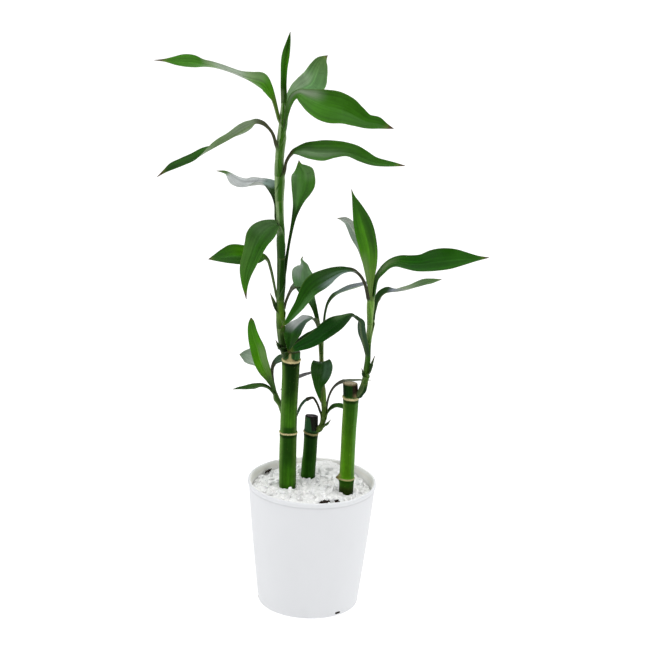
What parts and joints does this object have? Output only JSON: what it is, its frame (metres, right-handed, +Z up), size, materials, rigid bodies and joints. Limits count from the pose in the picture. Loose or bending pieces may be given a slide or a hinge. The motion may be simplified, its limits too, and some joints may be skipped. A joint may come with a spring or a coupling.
{
  "type": "potted lucky bamboo",
  "caption": "Lucky bamboo: cut canes with leafy shoots standing in a small tapered white plastic pot, topped with white stone chips.",
  "frame": {"origin": "centre of the pot's flat base, on the surface it stands on", "axes": "+Z up along the pot's axis, front of the plant towards -Y, +X to the right as seen from the front"},
  "size_m": [0.2568, 0.1333, 0.4647],
  "materials": {
    "pot_plastic": "satin",
    "potting_soil": "matte",
    "white_stone": "matte",
    "cane_green": "satin",
    "shoot_green": "satin",
    "leaf_green": "satin"
  },
  "bodies": {
    "root": {"pot": "pot_plastic", "potting_soil": "potting_soil", "stone_topping": "white_stone", "cane_left": "cane_green", "cane_middle": "cane_green", "cane_right": "cane_green", "tall_shoot": "shoot_green", "right_shoot": "shoot_green", "middle_shoot": "shoot_green", "side_shoot": "shoot_green", "tall_spear": "leaf_green", "tall_leaf_01": "leaf_green", "tall_leaf_02": "leaf_green", "tall_leaf_03": "leaf_green", "tall_leaf_04": "leaf_green", "tall_leaf_05": "leaf_green", "tall_leaf_06": "leaf_green", "tall_leaf_07": "leaf_green", "tall_leaf_08": "leaf_green", "tall_leaf_09": "leaf_green", "tall_leaf_10": "leaf_green", "tall_leaf_11": "leaf_green", "tall_bract_1": "leaf_green", "tall_bract_2": "leaf_green", "right_spear": "leaf_green", "right_leaf_1": "leaf_green", "right_leaf_2": "leaf_green", "right_leaf_3": "leaf_green", "right_leaf_4": "leaf_green", "right_leaf_5": "leaf_green", "right_bract_1": "leaf_green", "right_bract_2": "leaf_green", "middle_leaf_1": "leaf_green", "middle_leaf_2": "leaf_green", "middle_leaf_3": "leaf_green", "middle_leaf_4": "leaf_green", "middle_leaf_5": "leaf_green", "middle_leaf_6": "leaf_green", "middle_leaf_7": "leaf_green", "middle_leaf_8": "leaf_green", "middle_bract": "leaf_green", "side_leaf_1": "leaf_green", "side_leaf_2": "leaf_green", "side_leaf_3": "leaf_green", "side_leaf_4": "leaf_green"}
  },
  "joints": []
}
